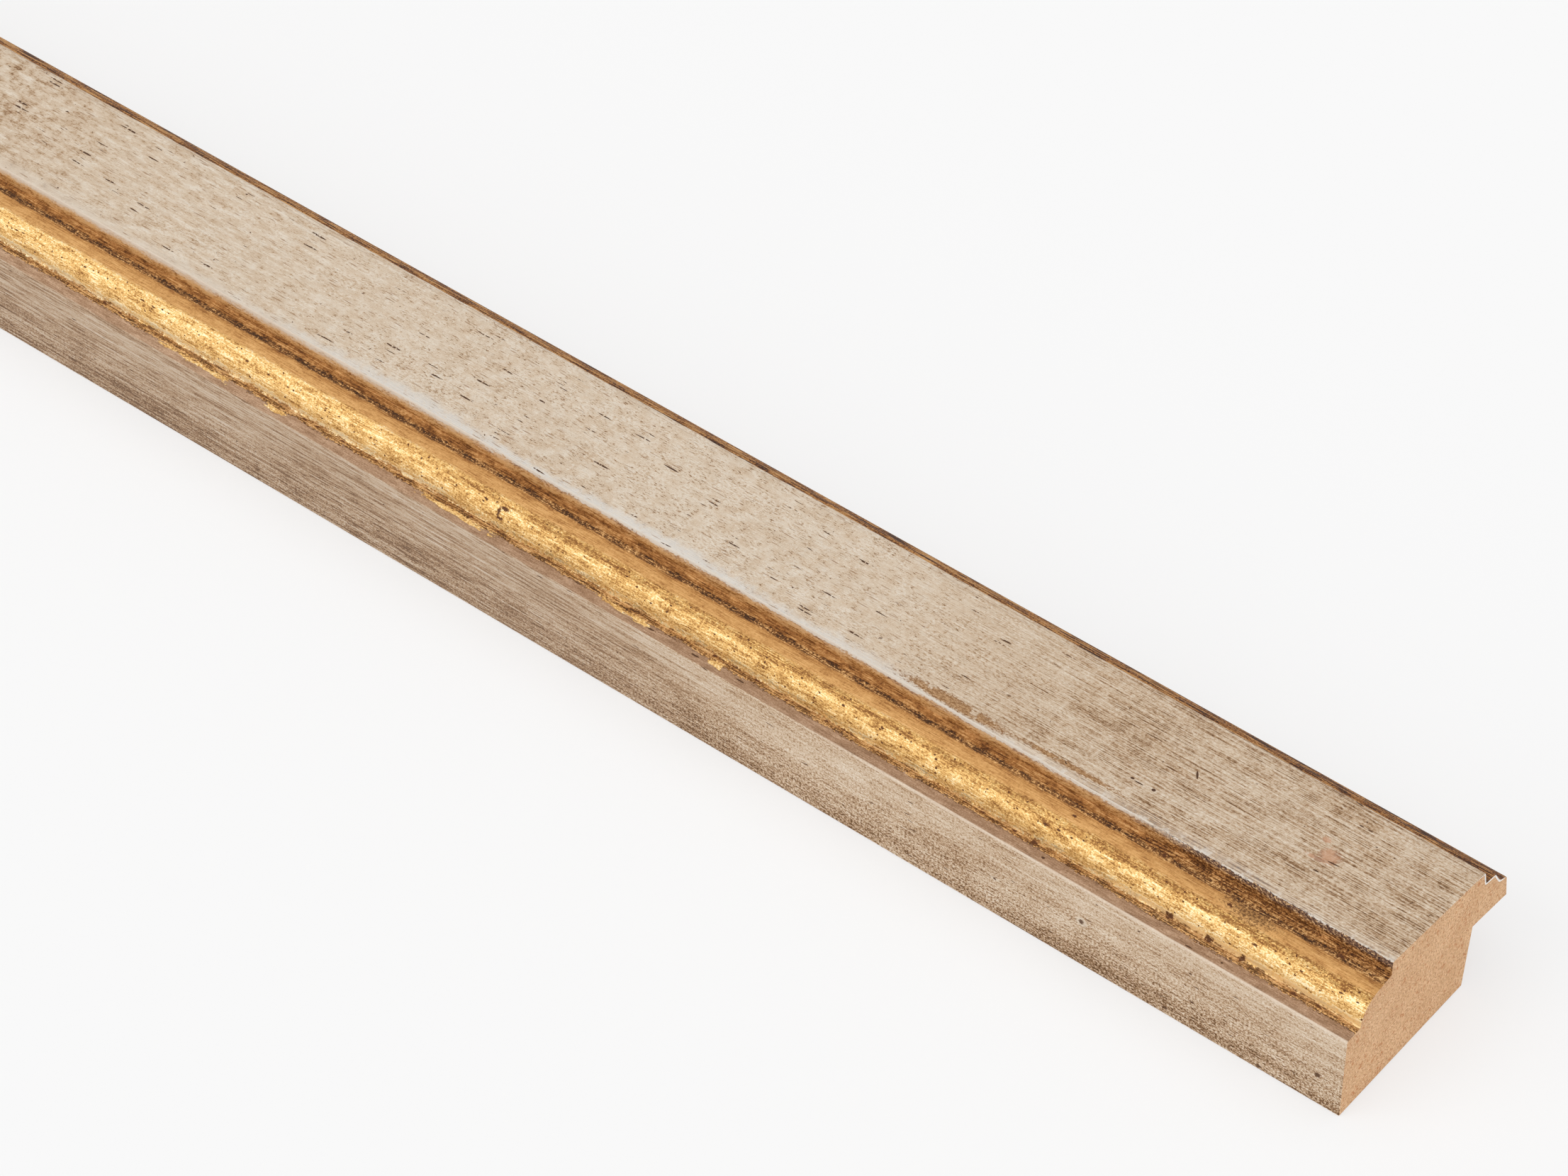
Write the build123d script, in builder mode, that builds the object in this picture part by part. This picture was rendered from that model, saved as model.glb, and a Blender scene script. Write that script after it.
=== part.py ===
from build123d import *
import os
from math import radians, tan

# Picture frame moulding, in millimetres: one length of machined hardwood, cut square at both ends.
# It lies on its back along X. The outer edge of a frame made from it faces -Y, the sight edge (the
# lip that holds the glass) faces +Y, and the face looks up. The origin is under its middle.

# The stick is a 4 foot length. Its section comes to 38.1 wide and 22.2 high, 1 1/2 by 7/8 inch.
length = 1219.2

# Outer edge: a narrow ledge, then a quarter round bead with a flat behind it
ledge_width = 3.0
ledge_rise = 0.1
ledge_arris_radius = 0.25
bead_foot_radius = 0.4
bead_radius = 4.2
bead_flat_width = 2.4
bead_flat_rise = 0.35

# Face: it stands above the bead's flat by a step and falls gently towards the sight edge
step_depth = 2.55
step_arris_radius = 0.15
face_width = 22.0
face_fall_deg = 5.0
face_arris_radius = 0.35

# Sight edge: a quirk down from the face, a shelf, and a cove that runs out to the nose of the lip
quirk_depth = 2.45
quirk_lean_deg = 11.5
quirk_root_radius = 0.2
shelf_width = 2.35
shelf_fall = 0.35
crest_radius = 0.6
cove_width = 1.4
cove_drop = 2.4
cove_radius = 1.5
nose_width = 1.75
nose_fall = 0.65
nose_radius = 0.9

# Lip and rabbet: the glass, picture and backing lie against the seat under the lip. The seat is
# nearly parallel to the face, and the rabbet's wall leans the same way.
lip_thickness = 4.2
lip_lean_deg = 6.6
rabbet_width = 8.2
rabbet_depth = 10.25
rabbet_tilt_deg = 5.4

# Distances from the outer edge
bead_crown_y = ledge_width + bead_radius
step_y = bead_crown_y + bead_flat_width
sight_arris_y = step_y + face_width
quirk_y = sight_arris_y + quirk_depth * tan(radians(quirk_lean_deg))
crest_y = quirk_y + shelf_width
cove_y = crest_y + cove_width
nose_y = cove_y + nose_width
width = nose_y + lip_thickness * tan(radians(lip_lean_deg))
rabbet_y = width - rabbet_width

# Heights above the back, up the sight edge to the face and down again to the ledge
seat_z = rabbet_depth + rabbet_width * tan(radians(rabbet_tilt_deg))
nose_z = rabbet_depth + lip_thickness
cove_z = nose_z + nose_fall
crest_z = cove_z + cove_drop
quirk_z = crest_z + shelf_fall
sight_arris_z = quirk_z + quirk_depth
height = sight_arris_z + face_width * tan(radians(face_fall_deg))
step_z = height - step_depth
bead_crown_z = step_z - bead_flat_rise
bead_foot_z = bead_crown_z - bead_radius
ledge_arris_z = bead_foot_z - ledge_rise
back_width = rabbet_y - seat_z * tan(radians(rabbet_tilt_deg))

# The section stands at one end of the stick, with its own origin at the foot of the outer edge
section_plane = Plane(origin=(-length / 2, -width / 2, 0), x_dir=(0, 1, 0), z_dir=(1, 0, 0))

# The stick
with BuildPart() as moulding:
    with BuildSketch(section_plane) as section:
        with BuildLine() as outline:
            outer_edge = FilletPolyline(
                (0, 0),
                (0, ledge_arris_z),
                (ledge_width, bead_foot_z),
                radius=[ledge_arris_radius],
            )
            bead = CenterArc((bead_crown_y, bead_foot_z), bead_radius, 180, -90)
            face_and_rabbet = FilletPolyline(
                bead @ 1,
                (step_y, step_z),
                (step_y, height),
                (sight_arris_y, sight_arris_z),
                (quirk_y, quirk_z),
                (crest_y, crest_z),
                (cove_y, cove_z),
                (nose_y, nose_z),
                (width, rabbet_depth),
                (rabbet_y, seat_z),
                (back_width, 0),
                outer_edge @ 0,
                radius=[
                    0,
                    step_arris_radius,
                    face_arris_radius,
                    quirk_root_radius,
                    crest_radius,
                    cove_radius,
                    nose_radius,
                    0,
                    0,
                    0,
                ],
            )
        make_face()
        bead_foot = section.vertices().sort_by_distance((ledge_width, bead_foot_z))[0]
        fillet(bead_foot, bead_foot_radius)
    extrude(amount=length)
moulding.part.label = "moulding"

print(f"section {width:.2f} wide, {height:.2f} high, bead foot {bead_foot_z:.2f}, back {back_width:.2f}")
print(f"section area {section.sketch.area:.1f}, volume {moulding.part.volume:.0f}")

os.makedirs("parts", exist_ok=True)
export_step(moulding.part, "parts/moulding.step")
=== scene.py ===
from math import cos, pi, radians, sin, tan

import bpy
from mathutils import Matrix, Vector, noise


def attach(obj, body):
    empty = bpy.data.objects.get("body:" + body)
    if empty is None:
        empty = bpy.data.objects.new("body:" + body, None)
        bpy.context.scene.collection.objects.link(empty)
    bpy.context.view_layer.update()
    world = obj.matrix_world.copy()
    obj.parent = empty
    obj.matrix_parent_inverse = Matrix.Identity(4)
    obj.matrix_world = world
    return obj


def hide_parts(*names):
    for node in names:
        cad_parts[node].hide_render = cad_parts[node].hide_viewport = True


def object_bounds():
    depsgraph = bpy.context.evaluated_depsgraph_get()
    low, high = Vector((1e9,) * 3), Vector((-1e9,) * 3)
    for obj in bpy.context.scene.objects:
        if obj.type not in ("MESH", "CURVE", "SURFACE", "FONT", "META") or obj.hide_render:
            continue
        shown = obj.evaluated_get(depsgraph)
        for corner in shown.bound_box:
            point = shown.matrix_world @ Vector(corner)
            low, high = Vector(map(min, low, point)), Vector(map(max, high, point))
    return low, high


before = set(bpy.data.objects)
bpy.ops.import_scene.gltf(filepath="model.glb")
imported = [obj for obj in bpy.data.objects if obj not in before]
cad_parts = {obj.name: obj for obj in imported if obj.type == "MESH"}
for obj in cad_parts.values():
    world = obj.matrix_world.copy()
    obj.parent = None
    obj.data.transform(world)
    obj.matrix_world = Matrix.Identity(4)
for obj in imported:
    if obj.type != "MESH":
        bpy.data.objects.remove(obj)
cad_low, cad_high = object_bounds()

# Picture frame moulding, in metres, in the same frame as the CAD: the stick lies along X with the
# frame's outer edge at -Y, the sight edge at +Y and its face up. One mesh takes the CAD stick's
# place: the same section swept along its length, with the unevenness of a hand-finished coat.

MM = 0.001
length = cad_high.x - cad_low.x
outer_y = cad_low.y

# The shown end is at +X, and marks are placed by how many millimetres they lie back from it
end = length / MM / 2

# The section's sizes in millimetres, as the CAD has them
ledge_width, ledge_rise, ledge_arris_radius = 3.0, 0.1, 0.25
bead_foot_radius, bead_radius = 0.4, 4.2
bead_flat_width, bead_flat_rise = 2.4, 0.35
step_depth, step_arris_radius = 2.55, 0.15
face_width, face_fall_deg, face_arris_radius = 22.0, 5.0, 0.35
quirk_depth, quirk_lean_deg, quirk_root_radius = 2.45, 11.5, 0.2
shelf_width, shelf_fall, crest_radius = 2.35, 0.35, 0.6
cove_width, cove_drop, cove_radius = 1.4, 2.4, 1.5
nose_width, nose_fall, nose_radius = 1.75, 0.65, 0.9
lip_thickness, lip_lean_deg = 4.2, 6.6
rabbet_width, rabbet_depth, rabbet_tilt_deg = 8.2, 10.25, 5.4


# The section

def slope(degrees):
    return tan(radians(degrees))


bead_crown_y = ledge_width + bead_radius
step_y = bead_crown_y + bead_flat_width
sight_arris_y = step_y + face_width
quirk_y = sight_arris_y + quirk_depth * slope(quirk_lean_deg)
crest_y = quirk_y + shelf_width
cove_y = crest_y + cove_width
nose_y = cove_y + nose_width
width = nose_y + lip_thickness * slope(lip_lean_deg)
rabbet_y = width - rabbet_width

seat_z = rabbet_depth + rabbet_width * slope(rabbet_tilt_deg)
nose_z = rabbet_depth + lip_thickness
cove_z = nose_z + nose_fall
crest_z = cove_z + cove_drop
quirk_z = crest_z + shelf_fall
sight_arris_z = quirk_z + quirk_depth
height = sight_arris_z + face_width * slope(face_fall_deg)
step_z = height - step_depth
bead_crown_z = step_z - bead_flat_rise
bead_foot_z = bead_crown_z - bead_radius
ledge_arris_z = bead_foot_z - ledge_rise
back_width = rabbet_y - seat_z * slope(rabbet_tilt_deg)

BEAD_STEPS = 18
ROUND_STEPS = 4


def bead_points():
    """The quarter round, from its foot on the ledge to its crown."""
    points = []
    for k in range(1, BEAD_STEPS):
        turn = pi - k / BEAD_STEPS * pi / 2
        y = bead_crown_y + bead_radius * cos(turn)
        z = bead_foot_z + bead_radius * sin(turn)
        points.append(((y, z), 0, 1))
    return points


def corners():
    """The outline's corners from the foot of the outer edge: place, radius, spacing after it."""
    fine, plain, coarse = 0.5, 2.0, 5.0
    return [
        ((0, 0), 0, plain),
        ((0, ledge_arris_z), ledge_arris_radius, 0.75),
        ((ledge_width, bead_foot_z), bead_foot_radius / 2, 1.0),
        *bead_points(),
        ((bead_crown_y, bead_crown_z), 0, fine),
        ((step_y, step_z), 0, fine),
        ((step_y, height), step_arris_radius, plain),
        ((sight_arris_y, sight_arris_z), face_arris_radius, fine),
        ((quirk_y, quirk_z), quirk_root_radius, fine),
        ((crest_y, crest_z), crest_radius, fine),
        ((cove_y, cove_z), cove_radius, fine),
        ((nose_y, nose_z), nose_radius, plain),
        ((width, rabbet_depth), 0, coarse),
        ((rabbet_y, seat_z), 0, coarse),
        ((back_width, 0), 0, coarse),
    ]


def rounded(before, corner, after, radius):
    """Points along the arc that rounds one corner."""
    here = Vector(corner)
    to_before = (Vector(before) - here).normalized()
    to_after = (Vector(after) - here).normalized()
    half = to_before.angle(to_after) / 2
    middle = here + (to_before + to_after).normalized() * radius / sin(half)
    start = here + to_before * radius / tan(half) - middle
    end = here + to_after * radius / tan(half) - middle
    sweep = start.angle_signed(end)
    points = []
    for k in range(ROUND_STEPS + 1):
        turn = -sweep * k / ROUND_STEPS
        points.append(middle + Vector((start.x * cos(turn) - start.y * sin(turn),
                                       start.x * sin(turn) + start.y * cos(turn))))
    return points


def section_outline():
    """The closed outline as points (y, z), clockwise from the foot of the outer edge."""
    shape = corners()
    outline = []
    for k, (corner, radius, spacing) in enumerate(shape):
        before = shape[k - 1][0]
        after = shape[(k + 1) % len(shape)][0]
        if radius:
            outline += rounded(before, corner, after, radius)
        else:
            outline.append(Vector(corner))
        next_radius = shape[(k + 1) % len(shape)][1]
        run_end = Vector(after)
        if next_radius:
            after_next = shape[(k + 2) % len(shape)][0]
            run_end = rounded(corner, after, after_next, next_radius)[0]
        run = run_end - outline[-1]
        steps = max(1, round(run.length / spacing))
        outline += [outline[-1] + run * (j / steps) for j in range(1, steps)]
    return outline


outline = section_outline()
ring = len(outline)
girths = [0.0]
for k in range(ring):
    girths.append(girths[-1] + (outline[(k + 1) % ring] - outline[k]).length)


def girth_at(y, z):
    """The distance round the section, from the foot of the outer edge, to its point nearest (y, z)."""
    nearest = min(range(ring), key=lambda k: (outline[k] - Vector((y, z))).length)
    return girths[nearest]


ledge_girth = girth_at(0, ledge_arris_z)
foot_girth = girth_at(ledge_width, bead_foot_z)
crown_girth = girth_at(bead_crown_y, bead_crown_z)
step_girth = girth_at(step_y, step_z)
face_girth = girth_at(step_y, height)
sight_girth = girth_at(sight_arris_y, sight_arris_z)
crest_girth = girth_at(crest_y, crest_z)
nose_girth = girth_at(nose_y, nose_z)


def outward(k):
    """The outline's outward normal at point k."""
    along = outline[(k + 1) % ring] - outline[k - 1]
    return Vector((-along.y, along.x)).normalized()


normals = [outward(k) for k in range(ring)]


# The sweep

shown_length = 300.0
shown_spacing = 0.8
far_spacing = 1.75
sawn_edge = 0.1
sawn_inset = sawn_edge * 0.6

# How deep the coats' unevenness goes
leaf_waves = 0.05
leaf_crumple = 0.035
painted_waves = 0.012

# Arrises rubbed down in places: where each lies, how far the wear reaches, how deep it goes
worn_arrises = (
    (ledge_girth, 0.7, 0.10),
    (face_girth, 0.6, 0.12),
    (sight_girth, 0.7, 0.08),
)


def stations():
    """Places along the stick, closest together where it is seen from near by."""
    places = []
    x = end - sawn_edge
    while x > -end + sawn_edge:
        places.append(x)
        x -= shown_spacing if end - x < shown_length else far_spacing
    places.append(-end + sawn_edge)
    return places


def ripple(x, girth, along, across, seed):
    """Smooth noise from -1 to 1 whose features measure along by across millimetres."""
    return noise.noise(Vector((x / along + seed * 17.3, girth / across + seed * 5.7, seed * 3.1)))


def band(value, low, high, soft):
    """1 between low and high, falling to 0 over soft outside them."""
    inside = min(value - low, high - value)
    return max(0.0, min(1.0, 1 + inside / soft))


def sunk(x, girth):
    """How deep the surface lies below the clean section, in millimetres."""
    deep = 0.0
    leaf = band(girth, foot_girth + 0.4, step_girth - 0.4, 0.8)
    if leaf:
        deep += leaf * leaf_waves * (1 + ripple(x, girth, 9.0, 2.6, 1))
        deep += leaf * leaf_crumple * (1 + ripple(x, girth, 2.4, 1.1, 2))
    for arris, reach, most in worn_arrises:
        near = band(girth, arris, arris, reach)
        if near:
            rubbed = 0.25 + ripple(x, 0, 3.0, 1.0, 3) + 0.6 * ripple(x, 0, 0.9, 1.0, 4)
            deep += near * most * max(0.0, rubbed)
    painted = band(girth, 0.5, nose_girth, 0.5)
    if painted:
        deep += painted * painted_waves * (1 + ripple(x, girth, 14.0, 4.0, 5))
    return deep


# The map for baked pictures: the stick cut into rows, one above the other, and its two ends

ROWS = 3
row_length = length / MM / ROWS
row_gap = 2.0
map_side = row_length + 2 * row_gap
ends_from = ROWS * (girths[-1] + row_gap) + row_gap
ends_scale = (map_side - ends_from - row_gap) / height


def row_of(back):
    """Which row holds a place that lies so far back from the shown end."""
    return min(ROWS - 1, int(back / row_length))


def on_map(back, girth, row):
    """Where a place on the stick's length and round its section falls on the map."""
    return ((row_gap + back - row * row_length) / map_side,
            (row_gap + row * (girths[-1] + row_gap) + girth) / map_side)


def end_on_map(side, y, z):
    """Where a place on a sawn end falls on the map."""
    left = row_gap if side > 0 else 2 * row_gap + width * ends_scale
    return (left + y * ends_scale) / map_side, (ends_from + z * ends_scale) / map_side


def build_mesh():
    """The stick's vertices and faces, both maps' places for each face corner, and each face's coat."""
    places = stations()
    vertices = []
    for x in places:
        for k in range(ring):
            point = outline[k] - normals[k] * sunk(x, girths[k])
            vertices.append((x * MM, outer_y + point.x * MM, point.y * MM))
    faces = []
    uvs = []
    baked = []
    slots = []
    for i in range(len(places) - 1):
        row = row_of(end - (places[i] + places[i + 1]) / 2)
        for k in range(ring):
            after = (k + 1) % ring
            faces.append((i * ring + k, i * ring + after, (i + 1) * ring + after, (i + 1) * ring + k))
            near, far = places[i] * MM, places[i + 1] * MM
            low, high = girths[k] * MM, girths[k + 1] * MM
            uvs += [(near, low), (near, high), (far, high), (far, low)]
            baked += [on_map(end - u / MM, v / MM, row) for u, v in uvs[-4:]]
            slots.append(slot_at((girths[k] + girths[k + 1]) / 2))
    for side, last in ((1, 0), (-1, len(places) - 1)):
        add_end(side, last * ring, vertices, faces, uvs, baked, slots)
    return vertices, faces, uvs, baked, slots


gesso_thickness = 0.28
gesso_from = sight_girth - 0.5
gesso_to = nose_girth - 0.3
gesso_start = 0.6
gesso_fade = 1.2


def gesso_at(girth):
    """How thick the gesso shows on the sawn end: it fills the lip's hollows and fades at its nose."""
    if not gesso_from < girth < gesso_to:
        return 0.0
    share = min(1.0, (girth - gesso_from) / gesso_start, (gesso_to - girth) / gesso_fade)
    return gesso_thickness * share ** 0.5


def add_end(side, first, vertices, faces, uvs, baked, slots):
    """Closes one end: a sawn edge, the line of gesso under the lip's coat and the bare end wood."""
    rim = len(vertices)
    for k in range(ring):
        point = outline[k] - normals[k] * sawn_inset
        vertices.append((side * end * MM, outer_y + point.x * MM, point.y * MM))
    inner = []
    for k in range(ring):
        thick = gesso_at(girths[k])
        if thick:
            point = outline[k] - normals[k] * (sawn_inset + thick)
            inner.append(len(vertices))
            vertices.append((side * end * MM, outer_y + point.x * MM, point.y * MM))
        else:
            inner.append(rim + k)

    row = row_of(end - side * end)

    def add(face, slot, turns=None):
        """Adds a face; turns are its corners' places round the section, None on the sawn end."""
        loops = [(v, turns[j] if turns else None) for j, v in enumerate(face) if v != face[j - 1]]
        if side < 0:
            loops.reverse()
        faces.append(tuple(v for v, turn in loops))
        for v, turn in loops:
            x, y, z = vertices[v]
            uvs.append((x, (turn or 0.0) * MM))
            if turn is None:
                baked.append(end_on_map(side, (y - outer_y) / MM, z / MM))
            else:
                baked.append(on_map(end - x / MM, turn, row))
        slots.append(slot)

    for k in range(ring):
        after = (k + 1) % ring
        low, high = girths[k], girths[k + 1]
        add([rim + k, rim + after, first + after, first + k], slot_at((low + high) / 2),
            (low, high, high, low))
        if inner[k] != rim + k or inner[after] != rim + after:
            add([inner[k], inner[after], rim + after, rim + k], GESSO)
    add(inner, END_WOOD)


# Which coat covers which part of the girth

SIDE, LEAF, FACE, LIP, BARE, GESSO, END_WOOD = range(7)
leaf_from = ledge_girth + 0.12
leaf_to = face_girth + 0.1
lip_from = sight_girth + 0.1
lip_to = nose_girth + 0.35


def slot_at(girth):
    if girth < leaf_from:
        return SIDE
    if girth < leaf_to:
        return LEAF
    if girth < lip_from:
        return FACE
    if girth < lip_to:
        return LIP
    return BARE


# Shader nodes

def srgb(red, green, blue):
    """A colour as a picture shows it, 0 to 255, as the linear colour that the shader takes."""
    def linear(value):
        value /= 255
        return value / 12.92 if value <= 0.04045 else ((value + 0.055) / 1.055) ** 2.4
    return (linear(red), linear(green), linear(blue), 1.0)


class Coat:
    """One material and the shorthand for the nodes in it. Lengths are in millimetres."""

    def __init__(self, name):
        self.material = bpy.data.materials.new(name)
        self.material.use_nodes = True
        self.tree = self.material.node_tree
        self.shader = self.tree.nodes["Principled BSDF"]
        flat = self.add("ShaderNodeUVMap", uv_map="Girth")
        self.place = self.add("ShaderNodeVectorMath", {0: flat, 1: (1 / MM, 1 / MM, 1 / MM)},
                              operation="MULTIPLY")
        parts = self.tree.nodes.new("ShaderNodeSeparateXYZ")
        self.tree.links.new(self.place, parts.inputs[0])
        self.along, self.girth = parts.outputs["X"], parts.outputs["Y"]

    def add(self, kind, sockets=(), output=0, **settings):
        node = self.tree.nodes.new(kind)
        for key, value in settings.items():
            setattr(node, key, value)
        for key, value in dict(sockets).items():
            self.put(node.inputs[key], value)
        return node.outputs[output]

    def put(self, socket, value):
        if isinstance(value, bpy.types.NodeSocket):
            self.tree.links.new(value, socket)
        else:
            socket.default_value = value

    def math(self, operation, first, second=0.0):
        return self.add("ShaderNodeMath", {0: first, 1: second}, operation=operation)

    def join(self, operation, values):
        total = values[0]
        for value in values[1:]:
            total = self.math(operation, total, value)
        return total

    def times(self, *values):
        return self.join("MULTIPLY", values)

    def plus(self, *values):
        return self.join("ADD", values)

    def most(self, *values):
        return self.join("MAXIMUM", values)

    def less(self, value):
        """1 less the value."""
        return self.math("SUBTRACT", 1.0, value)

    def vary(self, value, amount):
        """A noise about 0, amount times as strong."""
        return self.times(self.math("SUBTRACT", value, 0.5), amount)

    def step(self, value, low, high, bottom=0.0, top=1.0):
        """Goes smoothly from bottom to top as value goes from low to high; low may be the larger."""
        if low > high:
            low, high, bottom, top = high, low, top, bottom
        return self.add("ShaderNodeMapRange", {"Value": value, "From Min": low, "From Max": high,
                                               "To Min": bottom, "To Max": top},
                        interpolation_type="SMOOTHSTEP")

    def within(self, value, low, high, soft):
        """1 where value lies between low and high, with an edge soft wide."""
        return self.times(self.step(value, low - soft / 2, low + soft / 2),
                          self.step(value, high + soft / 2, high - soft / 2))

    def mix(self, amount, first, second):
        return self.add("ShaderNodeMix", {0: amount, 6: first, 7: second}, output=2, data_type="RGBA")

    def ramp(self, tone, stops):
        """The colours of a palette, from its darkest tone at 0 to its lightest at 1."""
        node = self.tree.nodes.new("ShaderNodeValToRGB")
        marks = node.color_ramp.elements
        for k, (position, colour) in enumerate(stops):
            mark = marks[k] if k < len(marks) else marks.new(position)
            mark.position = position
            mark.color = srgb(*colour)
        self.put(node.inputs[0], tone)
        return node.outputs[0]

    def stretch(self, along, across, seed, place=None):
        """Coordinates in which one unit measures along by across millimetres."""
        return self.add("ShaderNodeVectorMath",
                        {0: place or self.place, 1: (1 / along, 1 / across, 1.0),
                         2: (seed * 7.31, seed * 3.77, 0.0)}, operation="MULTIPLY_ADD")

    def turned(self, degrees):
        """The place in axes turned so that the first runs that many degrees up from the stick's."""
        return self.add("ShaderNodeMapping", {"Vector": self.place,
                                              "Rotation": (0.0, 0.0, radians(-degrees))})

    def noise(self, along, across, seed, detail=2.0, rough=0.5, place=None):
        """A noise about 0.5 whose features measure along by across millimetres."""
        return self.add("ShaderNodeTexNoise",
                        {"Vector": self.stretch(along, across, seed, place), "Scale": 1.0,
                         "Detail": detail, "Roughness": rough}, noise_dimensions="2D")

    def flecks(self, along, across, seed, size, keep):
        """Scattered marks: one to a cell at most, size of the cell in radius, a share keep of them."""
        wave = self.add("ShaderNodeTexNoise", {"Vector": self.stretch(along / 3, across / 2, seed + 1),
                                               "Scale": 1.0, "Detail": 1.0},
                        output=1, noise_dimensions="2D")
        place = self.add("ShaderNodeVectorMath",
                         {0: wave, 1: (0.3, 0.3, 0.0), 2: self.stretch(along, across, seed)},
                         operation="MULTIPLY_ADD")
        node = self.tree.nodes.new("ShaderNodeTexVoronoi")
        node.voronoi_dimensions = "2D"
        self.put(node.inputs["Vector"], place)
        node.inputs["Scale"].default_value = 1.0
        chance = self.tree.nodes.new("ShaderNodeSeparateColor")
        self.tree.links.new(node.outputs["Color"], chance.inputs[0])
        kept = self.math("LESS_THAN", chance.outputs[0], keep)
        reach = self.math("MULTIPLY_ADD", chance.outputs[1], size)
        self.put(reach.node.inputs[2], size * 0.4)
        away = self.math("SUBTRACT", reach, node.outputs["Distance"])
        return self.times(kept, self.step(away, 0.0, size * 0.8))

    def stain(self, colour, mark, edge, core):
        """Marks soaked into a coat: their edges take one colour and their cores a darker one."""
        soaked = self.mix(self.times(self.step(mark, 0.0, 0.6), 0.7), colour, srgb(*edge))
        return self.mix(self.times(self.step(mark, 0.3, 0.95), 0.92), soaked, srgb(*core))

    def blot(self, back, girth, half_length, half_width, turn, ragged=None, edge=0.3, square=False):
        """One mark, an ellipse or square back from the shown end; ragged noise breaks its edge up."""
        spot = self.add("ShaderNodeMapping",
                        {"Vector": self.place, "Location": (end - back, girth, 0.0),
                         "Rotation": (0.0, 0.0, radians(turn)),
                         "Scale": (half_length, half_width, 1.0)}, vector_type="TEXTURE")
        if square:
            parts = self.add("ShaderNodeVectorMath", {0: spot}, operation="ABSOLUTE")
            axes = self.tree.nodes.new("ShaderNodeSeparateXYZ")
            self.put(axes.inputs[0], parts)
            away = self.most(axes.outputs["X"], axes.outputs["Y"])
        else:
            away = self.add("ShaderNodeVectorMath", {0: spot}, output=1, operation="LENGTH")
        if ragged is not None:
            away = self.math("ADD", away, ragged)
        return self.step(away, 1.0 + edge, 1.0 - edge)

    def blots(self, spots, ragged=None, edge=0.3, square=False):
        return self.most(*[self.blot(*spot, ragged=ragged, edge=edge, square=square) for spot in spots])

    def bump(self, height, strength, distance):
        return self.add("ShaderNodeBump", {"Height": height, "Strength": strength,
                                           "Distance": distance * MM})

    def finish(self, colour, roughness, normal, **sockets):
        self.put(self.shader.inputs["Base Color"], colour)
        self.put(self.shader.inputs["Roughness"], roughness)
        self.put(self.shader.inputs["Normal"], normal)
        for name, value in sockets.items():
            self.put(self.shader.inputs[name.replace("_", " ")], value)
        return self.material


# Materials

WASH = ((0.0, (92, 62, 36)), (0.2, (138, 104, 71)), (0.42, (183, 152, 120)),
        (0.6, (205, 181, 154)), (0.8, (218, 199, 176)), (1.0, (229, 216, 199)))
# The palest stops of GOLD are painted highlight: the glints of the crumpled leaf are put into its colour
GOLD = ((0.0, (128, 84, 42)), (0.2, (166, 120, 64)), (0.4, (205, 158, 92)),
        (0.6, (231, 187, 117)), (0.8, (247, 212, 149)), (1.0, (254, 238, 198)))
OCHRE = ((0.0, (134, 86, 44)), (0.25, (176, 126, 70)), (0.5, (201, 152, 92)), (1.0, (226, 180, 120)))
AMBER = ((0.0, (66, 36, 14)), (0.25, (110, 68, 32)), (0.5, (154, 104, 54)),
         (0.75, (188, 138, 82)), (1.0, (216, 172, 116)))
CRUST = ((0.0, (44, 24, 10)), (0.3, (94, 56, 24)), (0.55, (140, 94, 50)),
         (0.8, (184, 134, 78)), (1.0, (232, 188, 128)))
TOP_CRUST = ((0.0, (56, 40, 40)), (0.4, (108, 80, 66)), (0.7, (160, 124, 94)), (1.0, (228, 194, 142)))
TAUPE = ((0.0, (112, 80, 54)), (0.5, (160, 126, 97)), (1.0, (204, 172, 144)))
BROWN = ((0.0, (58, 32, 14)), (0.25, (104, 62, 30)), (0.5, (150, 98, 52)),
         (0.75, (178, 126, 72)), (1.0, (206, 158, 104)))
BLOOM = (219, 214, 207)
SOAKED = (146, 108, 74)
NEAR_BLACK = (68, 42, 26)

# Marks that the photograph shows. Each is its distance back from the shown end, its girth, its half
# length and half width, all in millimetres, and its turn in degrees.
FACE_FLAKES = ((72.5, 30.7, 9.0, 1.05, 0.0), (54.0, 31.2, 8.0, 0.5, 1.0))
FACE_STAINS = ((17.3, 40.1, 1.5, 1.5, 0.0), (19.4, 42.5, 0.6, 0.5, 0.0), (18.6, 38.7, 1.5, 0.35, 0.0))
FACE_MARKS = (
    (39.6, 41.2, 0.8, 0.16, -56.0), (16.2, 39.3, 0.9, 0.12, 4.0), (44.6, 34.7, 0.7, 0.12, 2.0),
    (42.3, 34.9, 0.3, 0.28, 0.0), (45.8, 34.9, 0.3, 0.2, 0.0), (20.0, 51.2, 0.7, 0.12, -8.0),
    (17.4, 47.8, 0.35, 0.12, 0.0), (16.0, 47.8, 0.4, 0.1, 0.0), (17.2, 36.7, 0.45, 0.14, 4.0))
SIDE_HALOS = ((42.5, 8.4, 0.85, 0.8, 0.0), (57.0, 6.9, 0.8, 0.3, 0.0))
SIDE_MARKS = (
    (42.5, 8.4, 0.38, 0.36, 0.0), (3.9, 5.4, 0.5, 0.5, 20.0), (28.4, 1.1, 0.65, 0.35, 0.0),
    (13.0, 0.5, 0.55, 0.35, 0.0), (24.7, 10.7, 0.22, 0.2, 0.0), (57.0, 6.9, 0.3, 0.25, 0.0),
    (24.2, 5.3, 0.4, 0.2, 0.0))
LEAF_BLEMISH = (20.5, 24.7, 3.4, 1.5, 0.0)
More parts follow.
